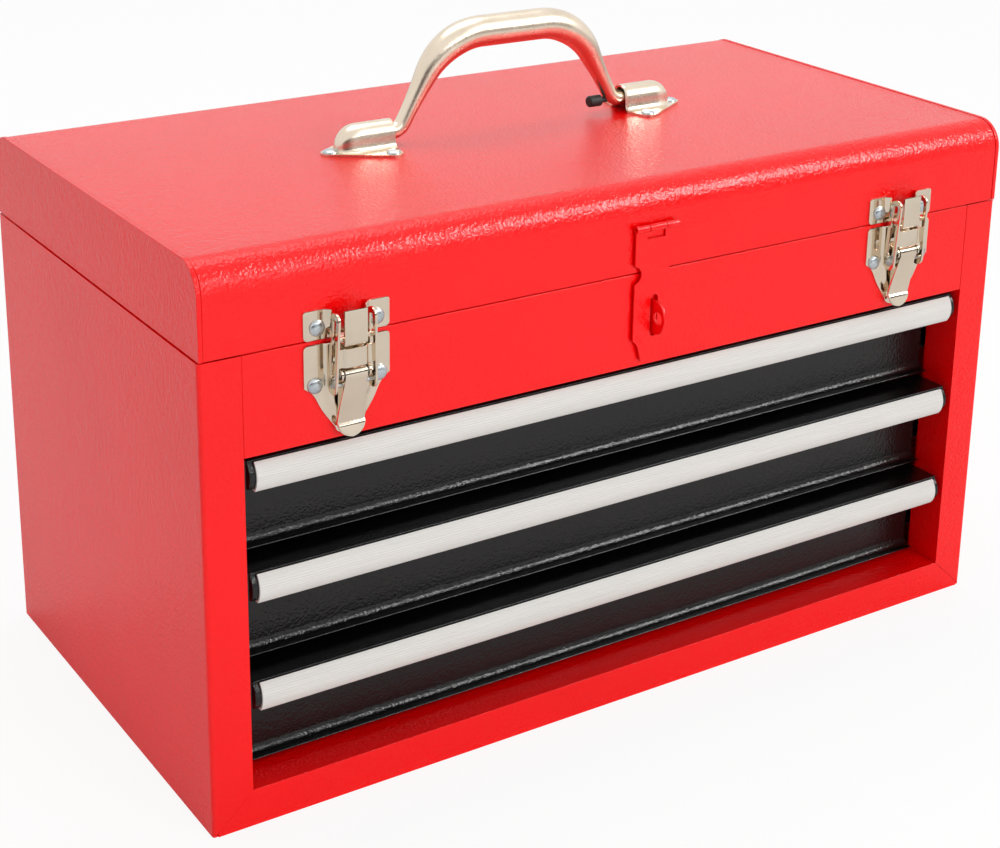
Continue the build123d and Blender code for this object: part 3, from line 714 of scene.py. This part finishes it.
def base_meshes():
    """Base: a plate with a raised middle panel, and the two lugs for the lever's pin."""
    panel_half, panel_taper, panel_rise = 13.4, 7.8, 1.5

    def place(u, v, n):
        half = panel_half - panel_taper * ease((-v - 24.0) / 22.0)
        ends = ease((-v - 0.5) / 1.5), ease((v + 50.0) / 5.0)
        rise = panel_rise * ease((half - abs(u)) / 1.3) * ends[0] * ends[1]
        return (u, -n - rise, v)

    across = (14, 13.2, 12.7, 12.1, 11, 10, 9, 8, 7, 6, 5, 4, 2)
    down = (2, 3, 6, 10, 14, 18, 22, 25, 28, 31, 34, 37, 40, 42, 44, 46, 47, 48, 49, 50)
    cuts = [("u", s * x) for s in (-1, 1) for x in across] + [("v", -z) for z in down]
    plate = flat("plate", base_outline(), SHEET, PLATE_BEVEL, place, cuts=cuts)

    (y, z), r, hole_r = LEVER_PIN, PIVOT_R, 1.55
    outline = [(-0.6, z + r + 1.4), (y * 0.6, z + r + 0.3)]
    outline += [(y - r * sin(pi * k / 10), z + r * cos(pi * k / 10)) for k in range(11)]
    outline += [(y * 0.6, z - r - 0.3), (-0.6, z - r - 1.4)]
    return [plate] + [flat("lug", outline, SHEET, 0.2,
                           lambda u, v, n, side=side: (side * (7.0 + n), u, v),
                           holes=[circle(y, z, hole_r, 16)]) for side in (-1, 1)]


def lever_meshes():
    """Lever: a curl round the pin, a flanged plate that widens downward, a thumb tab and the
    two cheeks at the pin."""
    y, z = LEVER_PIN
    curl = []
    for k in range(15):
        a = radians(-62 + 242 * k / 14)
        curl.append((y + PIVOT_R * cos(a), z + PIVOT_R * sin(a)))
    curl += [(-11.0, -18.5), (-10.6, -19.8)]
    out = [even_band("curl", curl, LEVER_WIDTH, 0.3)]

    top, flange, lip = z - 0.6, 4.2, 1.0
    path, widths, depths = [], [], []
    plate_steps, tab_steps = 22, 14
    for k in range(plate_steps + 1):
        t = k / plate_steps
        path.append((-11.0 + 6.2 * t, top + (LEVER_BEND - top) * t))
        widths.append(LEVER_WIDTH + 3.1 * ease(t * 1.1))
        depths.append(SHEET + flange * ease(t * 6) * (1 - ease((t - 0.12) / 0.72))
                      + lip * ease(t * 6) * (1 - t))
    for k in range(1, tab_steps + 1):
        t = k / tab_steps
        low = LEVER_BEND + (LEVER_TIP - LEVER_BEND) * (1 - (1 - t) ** 1.6)
        share = (LEVER_BEND - low) / (LEVER_BEND - LEVER_TIP)
        path.append((-4.8 - 0.9 * ease(share * 6) - share, low))
        bulge = 15.3 * math.sqrt(max(1 - max(share * 1.06 - 0.06, 0.0) ** 2, 0.004))
        widths.append(max(bulge, 0.8))
        depths.append(SHEET)
    out.append(band("plate", path, widths, depths, 0.8))

    cheek = rounded([(-9.6, -17.0), (-9.0, -24.0), (-7.2, -25.6), (-5.2, -25.2), (-4.3, -23.6),
                     (-4.4, -20.5), (-4.7, -17.0), (-7.6, -15.0)], 1.0, 3)
    for side in (-1, 1):
        out.append(flat("cheek", cheek, SHEET, 0.2,
                        lambda u, v, n, side=side: (side * (5.0 + n), u, v)))
    return out


def link_meshes():
    """Draw link: slotted side arms that lean out and in to their tops, the crossbar, and the
    web with its raised pad."""
    pin_y, pin_z = LINK_PIN
    out = []

    def share(v):
        return max((v - pin_z) / (LINK_TOP - pin_z), 0.0)

    outline, slot = stadium(pin_y, -27.0, LINK_TOP, 4.4, 12), stadium(pin_y, -18.0, 12.2, 1.7)
    for side in (-1, 1):
        out.append(flat("arm", outline, 1.5, 0.45,
                        lambda u, v, n, side=side: (side * (10.2 + n - LINK_NARROW * share(v)),
                                                    u - LINK_LEAN * share(v), v),
                        holes=[slot], cuts=[("v", z) for z in (-15, -8, -1, 6, 10)]))
    bar = rounded([(-8.9, 0.2), (-6.2, 0.2), (-6.2, 2.7), (-8.9, 2.7)], 1.0, 3)
    out.append(skin("bar", [[(x, u - 0.6, v) for u, v in bar] for x in (-10.2, 10.2)]))

    heights = (-3.0, -3.3, -5.0, -8.0, -11.0, -12.7, -13.0)
    web_half, web_y, pad_half, pad_rise, across = 10.4, -9.7, 6.6, 1.3, 24
    rings = []
    for z in heights:
        roll = 0.5 if z in (heights[0], heights[-1]) else 0.0
        face = []
        for j in range(across + 1):
            x = -web_half + 2 * web_half * j / across
            pad = pad_rise * ease((pad_half - abs(x)) / 0.9)
            face.append((x, web_y - pad + roll, z))
        back = [(x, y + SHEET - 2 * roll * 0.9, z) for x, y, z in reversed(face)]
        rings.append(face + back)
    out.append(skin("web", rings))
    return out


def rivet_mesh(radius, height, place):
    """A domed rivet head with a thin flat rim and a slightly dimpled crown."""
    profile = [(radius * 0.6, -0.3), (radius, -0.3), (radius, height * 0.10)]
    for k in range(1, 8):
        t = k / 8
        profile.append((radius * 0.985 * math.sqrt(1 - t ** 2), height * (0.12 + 0.88 * t)))
    profile += [(radius * 0.30, height), (radius * 0.12, height * 0.985), (0.02, height * 0.98)]
    return lathe("rivet", profile, 28, place)


def pin_mesh(radius, reach, y, z):
    """A pin across X with chamfered ends."""
    profile = [(0.3, -reach), (0.85, -reach), (1.0, -reach + 0.25),
               (1.0, reach - 0.25), (0.85, reach), (0.3, reach)]
    return lathe("pin", [(radius * share, x) for share, x in profile], 20,
                 lambda u, v, h: (h, y + u, z + v))


def latch(side, cx):
    """One whole latch, on the middle line at cx."""
    for part, make, body, edge, angle in (
            ("strike", strike_meshes, "lid", 0.0, 34.0),
            ("base", base_meshes, "case", 0.0, 34.0),
            ("lever", lever_meshes, f"{side}_lever", 0.25, 40.0),
            ("link", link_meshes, f"{side}_link", 0.0, 34.0)):
        meshes = [moved_mesh(m, cx) for m in make()]
        piece(f"latch_{part}_{side}", meshes, body, "nickel_plate", edge, angle)
    for part, body, x, z in (("strike_rivets", "lid", 16.4, 6.9),
                             ("base_rivets", "case", 17.9, -22.7)):
        heads = [rivet_mesh(4.25, 2.2, lambda u, v, h, s=s: (cx + s * x + u, FRONT - SHEET - h,
                                                             SEAM + z + v)) for s in (-1, 1)]
        piece(f"latch_{part}_{side}", heads, body, "zinc", angle=50.0)
    for part, body, radius, reach, pin in (("lever_pin", "case", 1.5, 8.4, LEVER_PIN),
                                           ("link_pin", f"{side}_lever", 1.2, 11.8, LINK_PIN)):
        mesh = moved_mesh(pin_mesh(radius, reach, *pin), cx)
        piece(f"latch_{part}_{side}", [mesh], body, "zinc")


latch("left", -LATCH_X)
latch("right", LATCH_X)

# ------------------------------------------------------------------ hasp
# X is from the hasp's middle line, Y from the case's front face, Z from the seam.

HASP_HALF = 13.4
HASP_PIN = (-2.8, 25.7)         # (y, z)
KNUCKLE_R = 2.0
STAPLE_Z, STAPLE_RISE, STAPLE_REACH, STAPLE_THICK = -25.0, 9.5, 13.0, 2.0
EYE_Y, EYE_R = -7.0, 3.5


def hasp_meshes():
    """The hasp's plate with its closed slot, waist, window and the two rolled knuckles."""
    w, foot, shoulder, length, top = HASP_HALF, 7.5, 37.0, 50.0, HASP_PIN[1]
    bulge = (w + foot) / 2 - 1.44
    right = smooth_line([(w, -shoulder), (bulge + 1.3, -40.4), (bulge, -44.6),
                         (foot + 0.6, -48.0), (foot, -length)], 5)
    waist_x, waist_r, waist_end = 14.1, 5.0, 5.2
    turns = [radians(122 + 116 * k / 10) for k in range(11)]
    waist = [(waist_x + waist_r * cos(a), waist_r * sin(a)) for a in turns]
    window, sill = 5.8, top - 6.2
    outline = [(w, waist_end)] + waist + [(w, -waist_end)] + right + mirrored(right)
    outline += [(-w, -waist_end)] + mirrored(waist) + [(-w, waist_end), (-w, top)]
    outline += [(-window, top), (-window, sill), (window, sill), (window, top), (w, top)]
    slot = stadium(0.0, -36.2, -12.5, 2.3)
    out = [flat("hasp", outline, SHEET, 0.3, lambda u, v, n: (u, -1.4 - n, v), holes=[slot])]
    profile = [(0.55, 5.8), (0.92, 5.8), (1.0, 6.1), (1.0, 13.6), (0.92, 14.0), (0.55, 14.0)]
    for s in (-1, 1):
        out.append(lathe("knuckle", [(KNUCKLE_R * share, s * x) for share, x in profile], 20,
                         lambda u, v, h: (h, HASP_PIN[0] + u, HASP_PIN[1] + v)))
    return out


def staple_mesh():
    """The padlock eye: a thick rounded plate that stands out through the hasp's slot."""
    rise, reach = STAPLE_RISE, STAPLE_REACH
    outline = [(0.6, STAPLE_Z + rise), (-reach * 0.4, STAPLE_Z + rise)]
    for k in range(1, 16):
        a = pi / 2 + pi * k / 16
        outline.append((-reach * 0.4 + reach * 0.6 * cos(a), STAPLE_Z + rise * sin(a)))
    outline += [(-reach * 0.4, STAPLE_Z - rise), (0.6, STAPLE_Z - rise)]
    return flat("staple", outline, STAPLE_THICK, 0.55,
                lambda u, v, n: (n - STAPLE_THICK / 2, u, v),
                holes=[circle(EYE_Y, STAPLE_Z, EYE_R, 20)])


hasp_parts = [moved_mesh(m, HASP_X) for m in hasp_meshes()]
piece("hasp_plate", hasp_parts, "hasp", "red_paint", angle=34.0)
piece("hasp_staple", [moved_mesh(staple_mesh(), HASP_X)], "case", "red_paint", angle=34.0)
soften("hasp_leaf", "lid", "red_paint", 0.3)
soften("hasp_pin", "lid", "red_paint", 0.2, 1)

# ------------------------------------------------------------------ handle
# Z is from the lid's top.

AXIS, RISE = 8.0, 51.0                      # the feet's axis, and the grip's middle above it
GRIP_R, FOOT_R = 9.0, 4.6
SLIM_FROM, SLIM_OVER = 34.0, 56.0           # along the bar, from its middle
HANDLE_SIDES = 32
MOUTH, TUNNEL_END, TUNNEL_DOME = 79.0, 101.0, 13.2
BRACKET_SHEET, BRACKET_FLOOR = 1.3, 1.4
TIP_RIVET_X, MOUTH_RIVET_X, MOUTH_RIVET_Y = 116.9, 87.0, 18.0
TIP_X, CORNER_R = 116.4, 5.6                # the round tip of the base plate, and its corners


def handle_line():
    """Places along the right half of the handle: (x, z, slope, radius), from middle to foot."""
    full = radians(60.0)
    top = AXIS + RISE
    half, bend, elbow = 20.0, 41.0, 9.0
    bx, bz = half + bend * sin(full), top - bend * (1 - cos(full))
    ez = AXIS + elbow * (1 - cos(full))
    ex = bx + (bz - ez) / math.tan(full)
    out = [(x, top, 0.0) for x in (0.0, 6.0, 12.0, 17.0)]
    for k in range(19):
        a = full * k / 18
        out.append((half + bend * sin(a), top - bend * (1 - cos(a)), a))
    for k in range(1, 7):
        out.append((bx + (ex - bx) * k / 6, bz + (ez - bz) * k / 6, full))
    for k in range(1, 11):
        a = full * (1 - k / 10)
        out.append((ex + elbow * (sin(full) - sin(a)), AXIS + elbow * (1 - cos(a)), a))
    out += [(x, AXIS, 0.0) for x in (MOUTH + 2, MOUTH + 8, MOUTH + 18.6, MOUTH + 19)]
    total, gone = 0.0, [0.0]
    for a, b in zip(out, out[1:]):
        total += math.hypot(b[0] - a[0], b[1] - a[1])
        gone.append(total)
    stations = []
    for (x, z, slope), s in zip(out, gone):
        r = GRIP_R - (GRIP_R - FOOT_R) * ease((s - SLIM_FROM) / SLIM_OVER)
        chamfer = 0.9 if s == total else 1.0
        stations.append((x, z, slope, r * chamfer))
    return stations


def handle_mesh():
    """The bar: one smooth tube from foot to foot."""
    right = handle_line()
    left = [(-x, z, -slope, r) for x, z, slope, r in reversed(right[1:])]
    rings = []
    for x, z, slope, r in left + right:
        rings.append([(x + v * sin(slope), u, LID_TOP + z + v * cos(slope))
                      for u, v in circle(0.0, 0.0, r, HANDLE_SIDES)])
    return skin("handle", rings)


def bracket_edge(x):
    """Half width of the bracket's base plate at x: flared from the mouth, round the two rivets,
    then narrowing to the round tip."""
    mouth_half, flare_half, flare_over = 8.6, 21.93, 4.0
    side_from, side_half, tip_half, side_over = 89.92, 22.78, 4.78, 29.4
    if x < MOUTH + flare_over:
        return mouth_half + (flare_half - mouth_half) * ease((x - MOUTH) / flare_over) ** 0.8
    if x < side_from:
        return MOUTH_RIVET_Y + math.sqrt(CORNER_R * CORNER_R - (x - MOUTH_RIVET_X) ** 2)
    if x < side_from + side_over:
        return side_half + (tip_half - side_half) * (x - side_from) / side_over
    return math.sqrt(max(CORNER_R * CORNER_R - (x - TIP_X) ** 2, 0.0))


def bracket_mesh(side):
    """A pressed bracket: one thin sheet that rises from its base into a domed tunnel."""
    xs = [79, 79.4, 80, 81, 82, 83, 84.5, 86, 87.5, 89, 90.5, 93, 96, 99, 101]
    xs += [TUNNEL_END + TUNNEL_DOME * sin(pi / 2 * k / 12) for k in range(1, 13)]
    xs += [115.4, 116.6, 118, 119.3, 120.4, 121.2, 121.7, 121.95]
    section = [(0.0, 15.7), (1.6, 15.53), (3.1, 15.05), (4.6, 14.18), (5.9, 12.95), (6.9, 11.4),
               (7.5, 9.7), (7.75, 7.6), (7.95, 5.4), (8.25, 3.6), (8.8, 2.3), (9.7, 1.55),
               (10.6, BRACKET_FLOOR)]
    reach = section[-1][0]
    bm = bmesh.new()
    grid = []
    for x in xs:
        t = min(max((x - TUNNEL_END) / TUNNEL_DOME, 0.0), 1.0)
        size = math.sqrt(max(1 - t ** 2, 0.0))
        edge = max(bracket_edge(x), 0.4)
        scale = max(min(size, max(edge - 0.2, 0.1) / reach), 0.02)
        half = [(y * scale, BRACKET_FLOOR + (z - BRACKET_FLOOR) * size) for y, z in section]
        last = half[-1][0]
        half += [(last + (edge - last) * k / 3, BRACKET_FLOOR) for k in range(1, 4)]
        row = [(-y, z) for y, z in reversed(half[1:])] + half
        grid.append([bm.verts.new([c * MM for c in (side * x, y, LID_TOP + z)]) for y, z in row])
    for a, b in zip(grid, grid[1:]):
        for i in range(len(a) - 1):
            bm.faces.new((a[i], a[i + 1], b[i + 1], b[i]))
    bmesh.ops.recalc_face_normals(bm, faces=bm.faces)
    if sum(f.normal.z for f in bm.faces) < 0:
        bmesh.ops.reverse_faces(bm, faces=bm.faces)
    return new_mesh(bm, "bracket")


def bracket(name, side):
    obj = add_object("v_handle_bracket_" + name, bracket_mesh(side))
    sheet = obj.modifiers.new("sheet", "SOLIDIFY")
    sheet.thickness = BRACKET_SHEET * MM
    sheet.offset = -1.0
    sheet.use_even_offset = True
    round_edges(obj, 0.35, angle=40.0)
    finish_piece(obj, "handle_bracket_" + name, "lid", "nickel_plate")


def bracket_rivet(x, y):
    """The head of a rivet that stands on a bracket's base plate."""
    return rivet_mesh(4.2, 1.8, lambda u, v, h: (x + u, y + v, LID_TOP + BRACKET_FLOOR + h))


bracket("left", -1)
bracket("right", 1)
rivet_places = ((TIP_RIVET_X, 0.0), (MOUTH_RIVET_X, MOUTH_RIVET_Y), (MOUTH_RIVET_X, -MOUTH_RIVET_Y))
heads = [bracket_rivet(s * x, y) for s in (-1, 1) for x, y in rivet_places]
piece("handle_rivets", heads, "lid", "zinc", angle=50.0)
piece("handle_bar", [handle_mesh()], "handle", "nickel_plate", angle=50.0)
soften("handle_stop", "handle", "black_rubber", 0.3)
